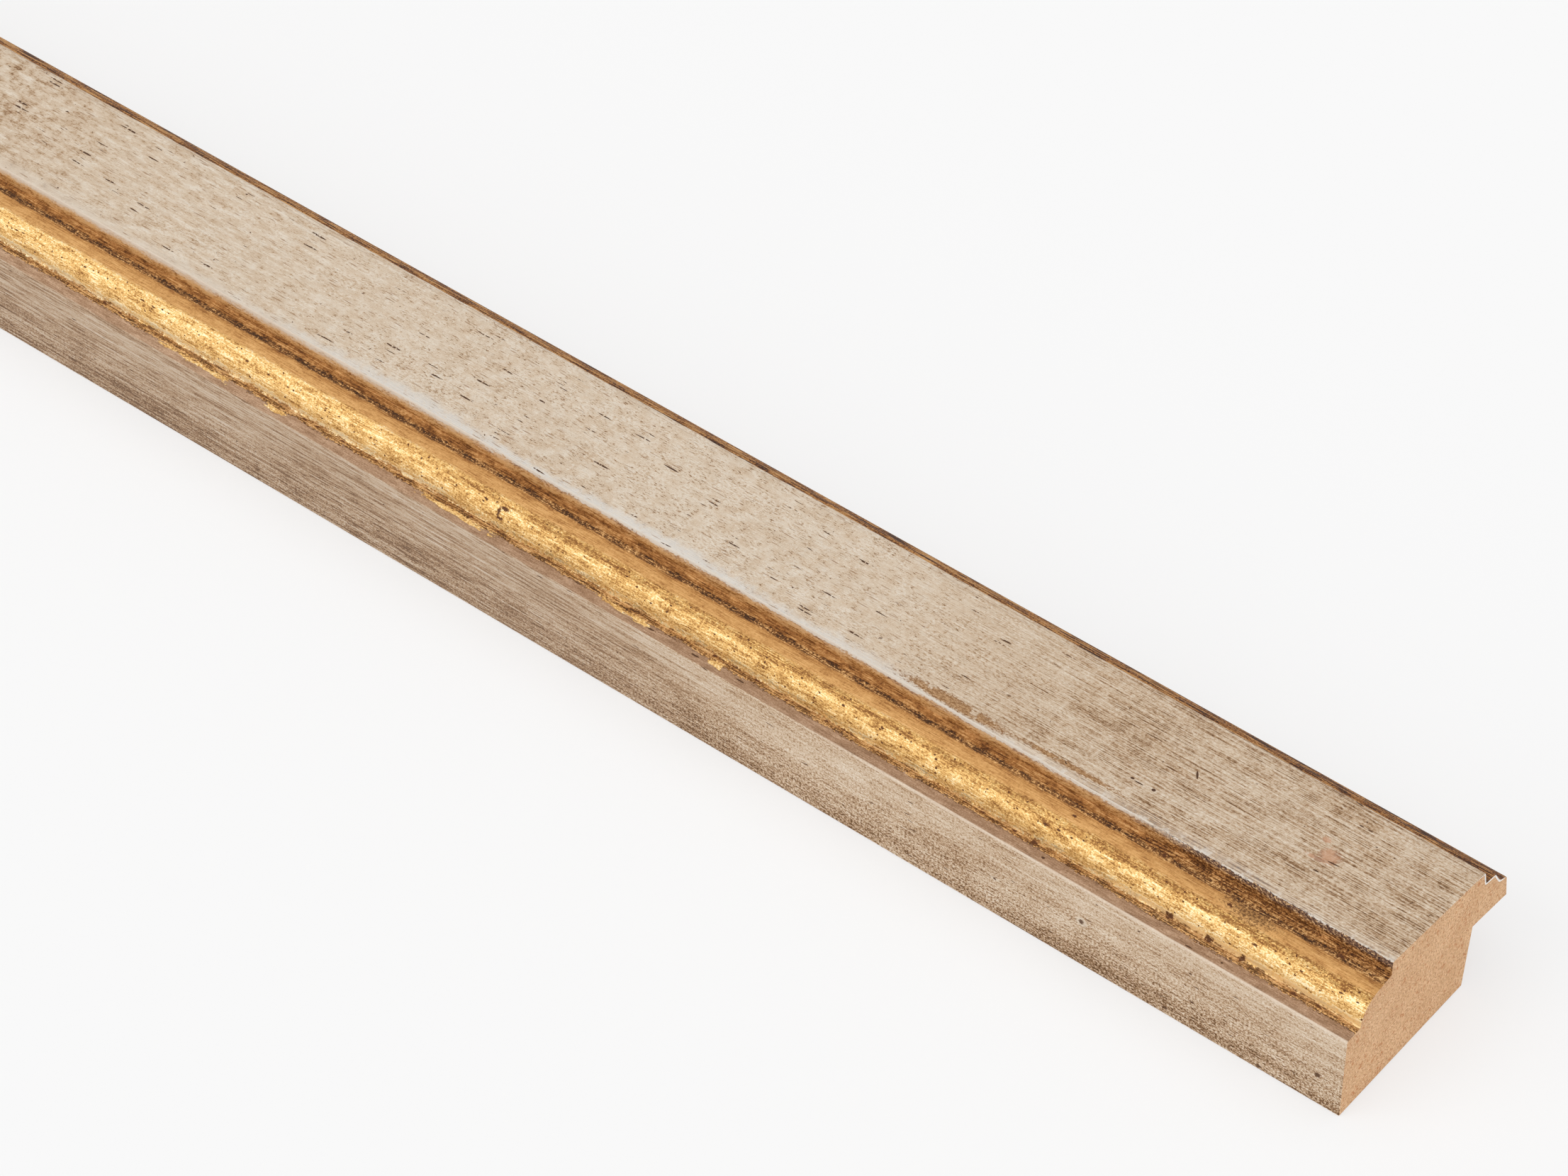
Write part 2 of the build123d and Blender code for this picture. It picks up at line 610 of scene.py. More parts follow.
LEAF_MARKS = (
    (30.6, 18.2, 0.6, 0.5, 0.0), (24.2, 18.1, 0.6, 0.45, 0.0), (10.2, 17.3, 0.5, 0.3, 0.0),
    (18.8, 18.1, 0.5, 0.45, 0.0), (52.6, 17.5, 0.5, 0.4, 0.0), (52.0, 20.9, 0.4, 0.2, 0.0),
    (49.2, 24.0, 0.35, 0.25, 0.0), (23.7, 24.0, 0.4, 0.25, 0.0), (17.8, 20.9, 0.4, 0.16, 0.0),
    (25.1, 25.7, 0.35, 0.3, 0.0), (35.5, 25.6, 0.35, 0.3, 0.0), (7.0, 25.7, 0.5, 0.3, 0.0),
    (147.2, 21.3, 0.7, 0.25, 0.0), (147.9, 20.5, 0.25, 0.8, 0.0), (147.4, 19.6, 0.5, 0.25, 0.0))
LEDGE_SPILLS = (
    (123.5, 16.7, 4.1, 0.5, -1.5), (106.8, 16.6, 1.1, 0.5, 0.0), (204.5, 16.7, 5.6, 0.5, -1.5),
    (188.6, 16.6, 1.9, 0.5, 0.0), (154.5, 16.7, 5.2, 0.5, -1.5))
LEDGE_DASHES = (
    (118.0, 16.2, 0.8, 0.15, 0.0), (110.0, 16.1, 0.7, 0.15, 0.0), (102.0, 16.2, 0.9, 0.14, 0.0),
    (25.7, 15.45, 0.5, 0.13, 0.0), (50.0, 16.1, 0.3, 0.2, 0.0), (20.6, 15.9, 0.2, 0.15, 0.0))


def back_from_end(coat, zero_at, one_at):
    """Goes smoothly from 0 to 1 between two distances back from the shown end."""
    return coat.step(coat.along, end - zero_at, end - one_at)


def near_end(coat, full, gone):
    """1 within full millimetres of the shown end, 0 beyond gone."""
    return back_from_end(coat, gone, full)


def face_coat():
    coat = Coat("washed_face")
    near = near_end(coat, 45.0, 105.0)
    far = back_from_end(coat, 165.0, 225.0)
    beyond = back_from_end(coat, 222.0, 262.0)
    cloud = coat.noise(24.0, 7.0, 1, 2.0)
    patch = coat.noise(2.3, 2.9, 2, 4.0, 0.62)
    line = coat.noise(20.0, 0.22, 3, 1.0)
    hair = coat.noise(9.0, 0.13, 4, 1.0)
    sponge = coat.noise(0.6, 0.32, 5, 3.0, 0.72)
    brushed = coat.noise(4.2, 1.0, 6, 4.0, 0.6)
    speck = coat.noise(0.9, 0.2, 8, 3.0, 0.7)
    crowd = coat.step(coat.noise(3.2, 1.7, 13, 3.0, 0.6), 0.42, 0.6)
    pale = coat.step(patch, 0.44, 0.62)
    lines = coat.times(coat.plus(coat.step(line, 0.46, 0.6), coat.times(coat.step(hair, 0.5, 0.6), 0.8)),
                       coat.less(coat.times(pale, 0.35)))
    lace = coat.step(coat.plus(sponge, coat.vary(patch, 0.7), coat.vary(cloud, 0.5)), 0.51, 0.61)
    sponged = coat.times(coat.vary(sponge, 1.7),
                         coat.plus(0.95, coat.times(near, -0.25), coat.times(far, -0.3)))
    specked = coat.times(coat.step(speck, 0.54, 0.68), coat.less(near),
                         coat.plus(-0.14, coat.times(crowd, coat.plus(-0.46, coat.times(far, 0.28)))))
    strokes = coat.times(coat.vary(brushed, 1.0),
                         coat.plus(0.3, coat.times(far, 0.6), coat.times(near, -0.2)))
    tone = coat.plus(0.96, coat.times(near, -0.235), coat.times(far, -0.06), coat.times(beyond, -0.12),
                     coat.times(beyond, coat.vary(patch, 1.1)), coat.vary(cloud, 0.4),
                     coat.times(coat.vary(patch, 0.65), coat.plus(0.35, coat.times(near, 0.05))),
                     sponged, coat.times(crowd, coat.less(near), -0.07), specked,
                     coat.times(lace, coat.less(near), coat.plus(-0.32, coat.times(far, 0.14))),
                     strokes, coat.times(lines, coat.plus(-0.03, coat.times(near, -0.27))))
    colour = coat.ramp(tone, WASH)

    # Flakes of ochre beside the gilding, a peach stain, and the pale film above the gold
    bite = coat.vary(sponge, 1.6)
    flaked = coat.blots(FACE_FLAKES, bite)
    flake = coat.mix(coat.step(bite, -0.2, 0.2), srgb(138, 97, 58), srgb(188, 148, 105))
    colour = coat.mix(coat.times(flaked, coat.step(patch, 0.3, 0.42), 0.95), colour, flake)
    stain = coat.blots(FACE_STAINS, bite)
    peach = coat.mix(coat.step(patch, 0.42, 0.58), srgb(160, 112, 84), srgb(198, 146, 112))
    colour = coat.mix(coat.times(stain, 0.7), colour, peach)
    upper = coat.plus(coat.girth, coat.vary(cloud, 3.0), coat.vary(patch, 2.4), coat.vary(sponge, 0.8),
                      coat.times(near, 0.4))
    bloom = coat.times(coat.step(upper, face_girth + 2.5, face_girth + 0.4), coat.less(flaked),
                       coat.less(coat.times(far, 0.25)),
                       coat.most(coat.plus(coat.step(sponge, 0.62, 0.48, 0.5, 0.85), coat.times(near, -0.6)),
                                 coat.step(patch, 0.5, 0.65, 0.0, 0.7)))
    colour = coat.mix(bloom, colour, coat.mix(far, srgb(*BLOOM), srgb(215, 201, 184)))
    rim = coat.within(coat.girth, sight_girth - 0.05, sight_girth + 0.6, 0.2)
    colour = coat.mix(coat.times(rim, 0.85), colour, srgb(218, 195, 172))
    waved = coat.plus(coat.girth, coat.vary(cloud, 1.0))
    scored = coat.most(coat.within(waved, sight_girth - 0.42, sight_girth - 0.32, 0.1),
                       coat.within(waved, sight_girth - 0.95, sight_girth - 0.87, 0.1))
    colour = coat.mix(coat.times(scored, coat.step(line, 0.4, 0.5), 0.5), colour, srgb(148, 118, 98))

    # Open pores, pits and stray marks
    clusters = coat.step(coat.noise(11.0, 5.0, 12), 0.4, 0.55)
    pores = coat.times(coat.flecks(8.0, 0.85, 7, 0.17, 0.32), clusters, coat.less(coat.times(near, 0.9)))
    faint = coat.flecks(4.2, 0.5, 11, 0.2, 0.4)
    pits = coat.flecks(3.1, 2.9, 9, 0.045, 0.25)
    beaded = coat.step(coat.noise(0.5, 0.5, 10, 1.0), 0.3, 0.52)
    colour = coat.mix(coat.times(faint, coat.less(near), 0.7), colour, srgb(152, 114, 80))
    dark = coat.most(coat.times(pores, beaded, 1.7), pits, coat.blots(FACE_MARKS))
    colour = coat.stain(colour, dark, SOAKED, NEAR_BLACK)
    height = coat.plus(coat.times(lines, -0.5), coat.times(sponge, -0.3), coat.times(dark, -0.8),
                       coat.times(bloom, 0.2))
    return coat.finish(colour, coat.step(cloud, 0.3, 0.7, 0.62, 0.74), coat.bump(height, 0.5, 0.1),
                       Specular_IOR_Level=0.2)


def side_coat():
    coat = Coat("washed_outer_edge")
    far = back_from_end(coat, 85.0, 145.0)
    cloud = coat.noise(26.0, 5.0, 11, 2.0)
    patch = coat.noise(4.0, 1.9, 12, 3.0, 0.6)
    line = coat.noise(5.0, 0.24, 13, 2.0, 0.6)
    dash = coat.noise(1.6, 0.2, 14, 1.0)
    stipple = coat.noise(0.36, 0.26, 15, 2.0, 0.65)
    brushed = coat.noise(9.0, 0.5, 16, 3.0, 0.6)
    drawn = coat.noise(45.0, 0.4, 18, 3.0, 0.6)
    # The outer edge is lighter towards its top and darker along its bottom
    high = coat.step(coat.girth, 0.5, 13.0)
    low = coat.step(coat.plus(coat.girth, coat.vary(patch, 3.0)), 5.0, 0.8)
    lines = coat.step(line, 0.48, 0.62)
    lower_darkening = coat.times(low, coat.plus(-0.01, coat.times(near_end(coat, 45.0, 75.0), -0.08)))
    stippled = coat.times(coat.vary(stipple, 2.1),
                          coat.plus(1.0, coat.times(high, -0.42), coat.times(far, -0.3)))
    tone = coat.plus(0.475, coat.times(high, 0.165), lower_darkening, coat.vary(cloud, 0.4),
                     coat.times(coat.vary(patch, 0.6), coat.plus(0.5, coat.times(far, -0.3))),
                     coat.times(coat.vary(drawn, 1.1), far), coat.vary(brushed, 0.7), stippled,
                     coat.times(coat.step(dash, 0.56, 0.7), coat.plus(-0.28, coat.times(high, 0.14))),
                     coat.times(lines, coat.plus(-0.05, coat.times(far, -0.24))))
    colour = coat.ramp(tone, WASH)
    colour = coat.mix(coat.times(far, 0.3), colour, srgb(152, 128, 109))
    # Painted highlight: a pale line along the arris at the top of the outer edge, near the shown end
    arris = coat.within(coat.girth, ledge_girth - 0.35, ledge_girth + 0.4, 0.15)
    colour = coat.mix(coat.times(arris, near_end(coat, 70.0, 100.0), 0.6), colour, srgb(224, 206, 186))
    pores = coat.flecks(6.0, 0.9, 17, 0.1, 0.14)
    pits = coat.flecks(3.6, 2.6, 19, 0.04, 0.3)
    bite = coat.plus(coat.vary(stipple, 1.2), coat.vary(patch, 1.2))
    stray = coat.blots(SIDE_MARKS, bite, 0.55)
    colour = coat.mix(coat.times(coat.blots(SIDE_HALOS), 0.65), colour, srgb(226, 214, 196))
    dark = coat.most(pores, pits, coat.times(stray, 0.8))
    colour = coat.stain(colour, dark, SOAKED, NEAR_BLACK)
    height = coat.plus(coat.times(lines, -0.4), coat.times(stipple, 0.5), coat.times(dark, -1.2))
    return coat.finish(colour, 0.68, coat.bump(height, 0.5, 0.1), Specular_IOR_Level=0.2)


def leaf_coat():
    coat = Coat("gold_leaf")
    girth = coat.girth
    near = near_end(coat, 28.0, 48.0)
    far = back_from_end(coat, 130.0, 190.0)
    wave = coat.noise(3.4, 0.9, 21, 4.0, 0.65)
    bite = coat.noise(0.55, 0.4, 22, 3.0, 0.7)
    crumb = coat.noise(0.36, 0.27, 23, 3.0, 0.68)
    fold = coat.noise(3.2, 1.1, 24, 3.0, 0.6)
    streak = coat.noise(3.6, 0.15, 25, 3.0, 0.6)
    hair = coat.noise(0.9, 0.3, 26, 2.0, 0.6, coat.turned(32.0))
    sheen = coat.noise(8.0, 0.8, 31, 2.0)
    wrinkle = coat.math("ABSOLUTE", coat.vary(coat.noise(1.1, 0.6, 32, 4.0, 0.6), 1.0))
    lower = coat.plus(girth, coat.vary(wave, 1.3), coat.vary(bite, 1.1))
    middle = coat.plus(girth, coat.vary(wave, 0.7), coat.vary(bite, 0.7))
    upper = coat.plus(girth, coat.vary(wave, 1.4), coat.vary(hair, 0.4), coat.vary(bite, 1.2))

    # The leaf: crumpled over the round, worn to a matte ochre on its upper part; the round's brightness is
    # partly painted highlight
    # The shoulder below the crown is darkened: partly olive tarnish, partly painted shade where the round
    # turns from the light
    shoulder = coat.within(middle, crown_girth - 2.9, crown_girth - 1.6, 0.6)
    # The lower flank of the round is lifted, and near the shown end turned orange: a painted reflection of
    # the light
    flank = coat.within(middle, foot_girth - 0.2, foot_girth + 1.0, 0.6)
    # Painted highlight in the tone: the ridges of the wrinkles are lifted as glints on top of the leaf's own
    # tone
    tone = coat.plus(0.44, coat.times(near, 0.11), coat.times(far, 0.05),
                     coat.times(coat.vary(crumb, 1.6), coat.plus(0.75, coat.times(near, 0.25))),
                     coat.vary(fold, 1.0), coat.vary(streak, 1.0), coat.vary(bite, 0.6),
                     coat.vary(sheen, 0.6), coat.step(wrinkle, 0.05, 0.0, 0.0, 0.26),
                     coat.times(shoulder, coat.plus(-0.2, coat.times(near, -0.22), coat.times(far, 0.26))),
                     coat.times(flank, coat.plus(0.18, coat.times(near, 0.3), coat.times(far, 0.14))))
    colour = coat.ramp(tone, GOLD)
    # Painted reflection: the lower flank near the shown end is mixed towards a bright orange gold
    colour = coat.mix(coat.times(flank, near, 0.6), colour, srgb(250, 200, 122))
    # Olive over the shoulder and, further back, over the flank: partly tarnish, partly painted shade
    olive = coat.times(coat.most(coat.times(shoulder, 0.7),
                                 coat.times(flank, coat.less(coat.times(near, 0.7)))),
                       coat.less(coat.times(far, 0.7)),
                       coat.step(fold, 0.44, 0.56), coat.step(bite, 0.42, 0.56))
    colour = coat.mix(coat.times(olive, 0.6), colour, srgb(142, 114, 66))
    on_flat = coat.step(middle, crown_girth - 1.9, crown_girth - 1.3)
    ochre_tone = coat.plus(0.47, coat.vary(streak, 1.2), coat.vary(bite, 0.6), coat.vary(fold, 0.6),
                           coat.vary(crumb, 0.6),
                           coat.times(coat.step(middle, crown_girth - 0.3, crown_girth + 0.4), -0.2))
    colour = coat.mix(on_flat, colour, coat.ramp(ochre_tone, OCHRE))
    blemish = coat.blot(*LEAF_BLEMISH, coat.plus(coat.vary(bite, 2.4), coat.vary(crumb, 1.6)), 0.6)
    colour = coat.mix(coat.times(blemish, 0.85), colour,
                      coat.mix(coat.step(crumb, 0.42, 0.6), srgb(92, 60, 34), srgb(168, 124, 74)))

    # The riser: brown with brush marks, darker towards the shown end and lighter along its top
    on_riser = coat.step(middle, step_girth - 1.5, step_girth - 1.0)
    climb = coat.step(girth, step_girth - 0.6, step_girth + 1.4)
    lighter = coat.plus(0.36, coat.times(near, -0.44), coat.times(far, 0.16))
    amber_tone = coat.plus(0.52, coat.times(near, -0.07), coat.times(climb, lighter),
                           coat.times(coat.vary(hair, 1.0), climb),
                           coat.times(coat.vary(streak, 2.2), coat.plus(0.6, coat.times(near, 0.4))),
                           coat.vary(sheen, 0.6), coat.vary(fold, 1.1),
                           coat.times(coat.vary(bite, 1.6), coat.plus(0.5, coat.times(near, 0.5))),
                           coat.times(coat.vary(crumb, 1.6), coat.plus(0.3, coat.times(near, 0.7))))
    colour = coat.mix(on_riser, colour, coat.ramp(amber_tone, AMBER))

    # Dirt along the inner corner of the leaf and, near the shown end, along the riser's top
    corner = coat.within(middle, crown_girth + 0.55, crown_girth + 1.4, 0.3)
    crust_tone = coat.plus(0.36, coat.times(near, 0.06), coat.times(far, -0.1), coat.vary(crumb, 1.2),
                           coat.vary(streak, 2.2), coat.vary(bite, 1.8), coat.vary(fold, 1.2),
                           coat.step(crumb, 0.58, 0.68, 0.0, 0.45))
    colour = coat.mix(coat.times(corner, 0.92), colour, coat.ramp(crust_tone, CRUST))
    top = coat.times(coat.step(upper, face_girth - 1.4, face_girth - 0.8), near)
    top_tone = coat.plus(0.45, coat.vary(bite, 2.4), coat.vary(crumb, 2.6), coat.vary(fold, 0.8))
    colour = coat.mix(coat.times(top, 0.9), colour, coat.ramp(top_tone, TOP_CRUST))

    # The pale film over the riser's top: ragged at the shown end, thinning out further back
    thin = coat.plus(coat.times(coat.step(upper, face_girth - 1.5, face_girth - 0.7),
                                coat.plus(0.2, coat.times(far, 0.45))),
                     coat.times(coat.step(upper, face_girth - 0.7, face_girth - 0.42), 0.75))
    ragged = coat.step(upper, face_girth - 0.15, face_girth + 0.05)
    film = coat.mix(near, thin, ragged)
    colour = coat.mix(film, colour, coat.mix(far, srgb(217, 207, 194), srgb(216, 200, 182)))

    # The leaf's lower edge: broken dark lines of glaze, an orange fringe, then the bare ledge
    glaze = coat.within(lower, foot_girth - 0.75, foot_girth + 0.1, 0.3)
    glaze_tone = coat.plus(0.58, coat.times(near, -0.08), coat.vary(streak, 2.6), coat.vary(crumb, 1.6),
                           coat.vary(fold, 1.2),
                           coat.times(coat.within(lower, foot_girth - 0.7, foot_girth - 0.4, 0.15), -0.3))
    colour = coat.mix(coat.times(glaze, 0.92), colour, coat.ramp(glaze_tone, AMBER))
    fringe = coat.within(lower, foot_girth - 1.1, foot_girth - 0.72, 0.1)
    fringe_tone = coat.plus(0.57, coat.vary(crumb, 6.0), coat.vary(streak, 6.0), coat.vary(fold, 2.4))
    colour = coat.mix(coat.times(fringe, 0.95), colour, coat.ramp(fringe_tone, AMBER))
    bare = coat.step(lower, foot_girth - 0.98, foot_girth - 1.06)
    spill = coat.blots(LEDGE_SPILLS, coat.plus(coat.vary(wave, 2.4), coat.vary(bite, 1.0)), 0.06, True)
    grit = coat.noise(0.3, 0.2, 29, 2.0, 0.6)
    ledge_tone = coat.plus(0.5, coat.times(far, 0.12), coat.vary(grit, 0.8), coat.vary(wave, 1.0),
                           coat.vary(streak, 0.8))
    ledge = coat.ramp(ledge_tone, TAUPE)
    # Painted highlight: the same pale line along the ledge's side of the arris, near the shown end
    arris = coat.times(coat.step(girth, ledge_girth + 0.3, ledge_girth + 0.1), near_end(coat, 70.0, 100.0))
    ledge = coat.mix(coat.times(arris, 0.7), ledge, srgb(222, 204, 184))
    shade = coat.step(lower, foot_girth - 1.3, foot_girth - 1.05)
    ledge = coat.mix(coat.times(shade, coat.step(fold, 0.4, 0.6), 0.8), ledge, srgb(88, 58, 38))
    ledge = coat.stain(ledge, coat.blots(LEDGE_DASHES, coat.vary(bite, 1.4)), SOAKED, NEAR_BLACK)
    colour = coat.mix(bare, colour, ledge)
    spilt = coat.times(spill, bare)
    spilt_tone = coat.plus(0.6, coat.vary(crumb, 1.8), coat.vary(fold, 1.0),
                           coat.step(lower, foot_girth - 1.6, foot_girth - 1.0, 0.0, -0.2))
    colour = coat.mix(spilt, colour, coat.ramp(spilt_tone, GOLD))

    # Pits and specks through the leaf
    on_round = coat.times(coat.step(girth, foot_girth + 0.3, foot_girth + 0.9), coat.less(on_flat))
    specks = coat.times(coat.flecks(1.0, 0.8, 27, 0.16, 0.32), on_round)
    row = coat.times(coat.flecks(2.3, 1.0, 28, 0.14, 0.6),
                     coat.within(girth, crown_girth - 4.1, crown_girth - 2.9, 0.3))
    lumps = coat.times(coat.flecks(2.6, 1.2, 30, 0.17, 0.5), coat.most(corner, glaze))
    stray = coat.blots(LEAF_MARKS, coat.vary(bite, 2.6), 0.5)
    dark = coat.times(coat.most(specks, row, lumps, stray), coat.less(bare))
    colour = coat.stain(colour, dark, (158, 100, 48), (82, 46, 24))

    gilt = coat.times(coat.less(film), coat.most(coat.less(bare), spilt))
    clean = coat.less(coat.times(coat.most(dark, corner, glaze, top), 0.75))
    shine = coat.times(gilt, clean)
    burnished = coat.times(coat.step(girth, foot_girth + 1.0, foot_girth + 2.2), on_round, 0.2)
    metal = coat.times(shine, coat.less(spilt), coat.plus(0.35, burnished))
    rough = coat.math("SUBTRACT", 0.64, coat.times(shine, coat.plus(0.1, coat.times(on_round, 0.1))))
    height = coat.plus(coat.times(crumb, coat.plus(0.2, coat.times(on_round, 1.0), corner)),
                       coat.times(fold, 0.9, on_round), coat.times(streak, -0.25),
                       coat.times(bite, on_riser, 0.7), coat.times(dark, -0.7), coat.times(bare, -0.8),
                       coat.times(film, 0.3), coat.times(spilt, 0.6))
    return coat.finish(colour, rough, coat.bump(height, 0.7, 0.12), Metallic=metal, Specular_IOR_Level=0.25)


def lip_coat():
    coat = Coat("brown_lip")
    girth = coat.girth
    near = near_end(coat, 30.0, 90.0)
    patch = coat.noise(4.5, 1.2, 41, 3.0, 0.6)
    streak = coat.noise(7.0, 0.2, 42, 3.0, 0.6)
    grit = coat.noise(0.35, 0.25, 43, 2.0, 0.6)
    tone = coat.plus(0.5, coat.times(near, -0.14), coat.vary(streak, 3.4), coat.vary(patch, 2.0),
                     coat.vary(grit, 1.6))
    colour = coat.ramp(tone, BROWN)
    # Painted shade: the quirk's groove below the crest and the cove above it are darkened
    hollow_shade = coat.most(coat.step(girth, crest_girth - 1.1, crest_girth - 1.9),
                       coat.within(girth, crest_girth + 1.2, crest_girth + 2.2, 0.6))
    colour = coat.mix(coat.times(hollow_shade, 0.75), colour, srgb(62, 38, 22))
    dark = coat.times(coat.step(coat.plus(patch, coat.vary(grit, 0.3)), 0.6, 0.7),
                      coat.step(girth, crest_girth - 1.0, crest_girth),
                      coat.plus(0.35, coat.times(near, 0.5)))
    colour = coat.mix(dark, colour, srgb(62, 40, 30))
    edge = coat.step(girth, sight_girth + 0.5, sight_girth + 0.2)
    colour = coat.mix(coat.times(edge, 0.7), colour, srgb(206, 180, 156))
    height = coat.plus(coat.times(streak, -0.4), coat.times(grit, 0.4), coat.times(dark, -0.5))
    rough = coat.step(patch, 0.35, 0.65, 0.5, 0.62)
    return coat.finish(colour, rough, coat.bump(height, 0.5, 0.1), Specular_IOR_Level=0.22)


def wood_coat(name, sawn_across):
    """Bare wood: long fibres on its faces, and cut pores where it is sawn across."""
    coat = Coat(name)
    texture = coat.tree.nodes.new("ShaderNodeTexCoord")
    place = coat.add("ShaderNodeVectorMath", {0: texture.outputs["Object"], 1: (1 / MM, 1 / MM, 1 / MM)},
                     operation="MULTIPLY")

    def grain(along, across, seed, detail=2.0, rough=0.5):
        vector = coat.add("ShaderNodeVectorMath",
                          {0: place, 1: (1 / along, 1 / across, 1 / across),
                           2: (seed * 7.31, seed * 3.77, seed * 1.9)}, operation="MULTIPLY_ADD")
        return coat.add("ShaderNodeTexNoise", {"Vector": vector, "Scale": 1.0, "Detail": detail,
                                               "Roughness": rough}, noise_dimensions="3D")

    depth = 1.0 if sawn_across else 0.6
    cloud = grain(120.0, 7.0, 51)
    fibre = grain(40.0, 0.6, 52, 3.0, 0.65)
    pore = grain(6.0, 0.3, 53, 2.0, 0.6)
    fleck = grain(5.0, 0.8, 54)
    colour = coat.mix(coat.step(cloud, 0.35, 0.65), srgb(224, 183, 141), srgb(215, 172, 130))
    colour = coat.mix(coat.times(coat.step(fibre, 0.4, 0.62), 0.45 * depth), colour, srgb(190, 145, 102))
    colour = coat.mix(coat.times(coat.step(pore, 0.53, 0.68), 0.85 * depth), colour, srgb(156, 104, 66))
    colour = coat.mix(coat.times(coat.step(fleck, 0.6, 0.68), 0.8 * depth), colour, srgb(188, 124, 76))
    colour = coat.mix(coat.times(coat.step(pore, 0.46, 0.3), 0.8 * depth), colour, srgb(240, 210, 176))
    height = coat.plus(coat.times(fibre, -0.4), coat.times(pore, -0.9))
    return coat.finish(colour, 0.72, coat.bump(height, 0.6, 0.1), Specular_IOR_Level=0.2)


def gesso_coat():
    coat = Coat("gesso")
    texture = coat.tree.nodes.new("ShaderNodeTexCoord")
    speck = coat.add("ShaderNodeTexNoise", {"Vector": texture.outputs["Object"], "Scale": 3500.0})
    colour = coat.mix(coat.step(speck, 0.35, 0.7), srgb(246, 244, 240), srgb(228, 220, 210))
    return coat.finish(colour, 0.8, coat.bump(speck, 0.3, 0.05))


# The dressed stick

def build_stick():
    vertices, faces, uvs, baked, slots = build_mesh()
    mesh = bpy.data.meshes.new("dressed_moulding")
    mesh.from_pydata(vertices, [], faces)
    layer = mesh.uv_layers.new(name="Girth")
    layer.data.foreach_set("uv", [value for pair in uvs for value in pair])
    rows = mesh.uv_layers.new(name="OFBake")
    rows.data.foreach_set("uv", [value for pair in baked for value in pair])
    mesh.polygons.foreach_set("material_index", slots)
    mesh.polygons.foreach_set("use_smooth", [slot not in (END_WOOD, GESSO) for slot in slots])
    coats = {
        SIDE: side_coat(),
        LEAF: leaf_coat(),
        FACE: face_coat(),
        LIP: lip_coat(),
        BARE: wood_coat("bare_wood", False),
        GESSO: gesso_coat(),
        END_WOOD: wood_coat("end_wood", True),
    }
    for slot in sorted(coats):
        mesh.materials.append(coats[slot])
    mesh.set_sharp_from_angle(angle=radians(38))
    mesh.validate()
    mesh.update()
    stick = bpy.data.objects.new("dressed_moulding", mesh)
    bpy.context.scene.collection.objects.link(stick)
    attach(stick, "root")
    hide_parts("moulding")


# Floor, light and camera

def light_paths(tree):
    """1 for rays that show the background: from the camera, a reflection or glass."""
    path = tree.nodes.new("ShaderNodeLightPath")
    shown = path.outputs["Is Camera Ray"]
    for name in ("Is Glossy Ray", "Is Transmission Ray"):
        add = tree.nodes.new("ShaderNodeMath")
        add.operation = "MAXIMUM"
        tree.links.new(shown, add.inputs[0])
        tree.links.new(path.outputs[name], add.inputs[1])
        shown = add.outputs[0]
    return shown


def build_floor():
    half = 4.0
    grey = (0.86, 0.86, 0.86, 1.0)
    glow_share = 0.6
    below_stick = 0.0002
    mesh = bpy.data.meshes.new("floor")
    square = [(-half, -half, 0), (half, -half, 0), (half, half, 0), (-half, half, 0)]
    mesh.from_pydata(square, [], [(0, 1, 2, 3)])
    floor = bpy.data.objects.new("floor", mesh)
    bpy.context.scene.collection.objects.link(floor)
    coat = Coat("pale_floor")
    coat.put(coat.shader.inputs["Base Color"], grey)
    coat.put(coat.shader.inputs["Roughness"], 0.9)
    glow = coat.add("ShaderNodeEmission", {"Color": (1.0, 1.0, 1.0, 1.0), "Strength": 1.0})
    amount = coat.times(light_paths(coat.tree), glow_share)
    output = coat.tree.nodes["Material Output"]
    blend = coat.add("ShaderNodeMixShader", {0: amount, 1: coat.shader.outputs[0], 2: glow})
    coat.tree.links.new(blend, output.inputs["Surface"])
    mesh.materials.append(coat.material)
    floor.location.z = -below_stick


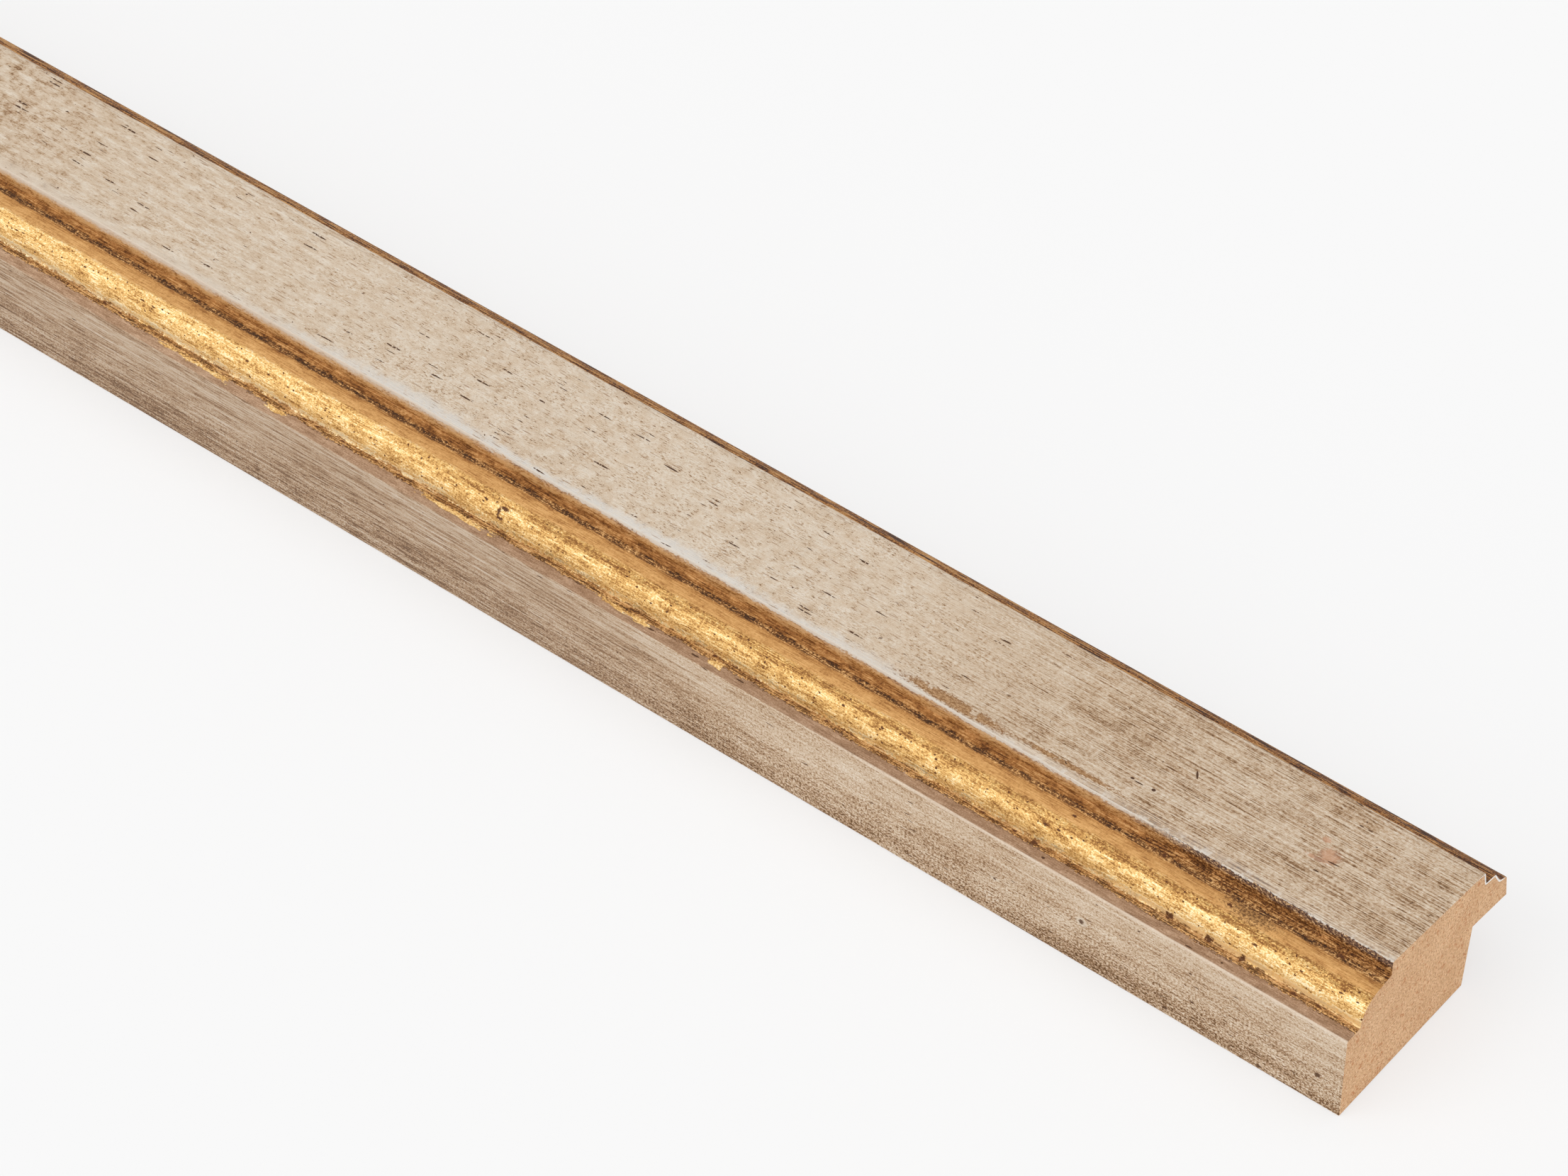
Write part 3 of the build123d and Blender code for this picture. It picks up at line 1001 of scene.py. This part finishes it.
def build_world():
    world = bpy.data.worlds.new("studio")
    bpy.context.scene.world = world
    world.use_nodes = True
    tree = world.node_tree
    ambient = 0.5
    strength = tree.nodes.new("ShaderNodeMapRange")
    strength.inputs["To Min"].default_value = ambient
    strength.inputs["To Max"].default_value = 1.0
    tree.links.new(light_paths(tree), strength.inputs["Value"])
    background = tree.nodes["Background"]
    background.inputs["Color"].default_value = (1.0, 1.0, 1.0, 1.0)
    tree.links.new(strength.outputs[0], background.inputs["Strength"])


def lamp(name, comes_from, strength, spread):
    """A soft lamp far away in one direction; spread is how wide it looks, in degrees."""
    light = bpy.data.lights.new(name, "SUN")
    light.energy = strength
    light.angle = radians(spread)
    holder = bpy.data.objects.new(name, light)
    holder.rotation_mode = "QUATERNION"
    holder.rotation_quaternion = Vector(comes_from).to_track_quat("Z", "Y")
    bpy.context.scene.collection.objects.link(holder)


def build_camera():
    """The photograph's view: the camera looks down on the shown end from in front and the right."""
    azimuth, elevation = radians(38.55), radians(45.55)
    right = Vector((cos(azimuth), sin(azimuth), 0))
    up = Vector((-sin(azimuth) * sin(elevation), cos(azimuth) * sin(elevation), cos(elevation)))
    back = Vector((sin(azimuth) * cos(elevation), -cos(azimuth) * cos(elevation), sin(elevation)))
    corner = Vector((cad_high.x, cad_low.y, cad_low.z))
    aim_left, aim_up, distance = 0.07302, 0.06947, 0.7465
    camera = bpy.data.cameras.new("camera")
    camera.lens = 130.27
    camera.sensor_width = 36.0
    camera.clip_start, camera.clip_end = 0.01, 50.0
    holder = bpy.data.objects.new("camera", camera)
    holder.rotation_mode = "QUATERNION"
    holder.location = corner - right * aim_left + up * aim_up + back * distance
    holder.rotation_quaternion = back.to_track_quat("Z", "Y")
    bpy.context.scene.collection.objects.link(holder)
    bpy.context.scene.camera = holder


build_stick()
build_floor()
build_world()
lamp("key", (-0.45, -0.75, 0.5), 0.8, 50)
lamp("overhead", (0.1, -0.1, 1.0), 0.9, 80)
lamp("right", (0.9, -0.3, 0.35), 0.8, 60)
build_camera()
bpy.context.scene.view_settings.view_transform = "Standard"
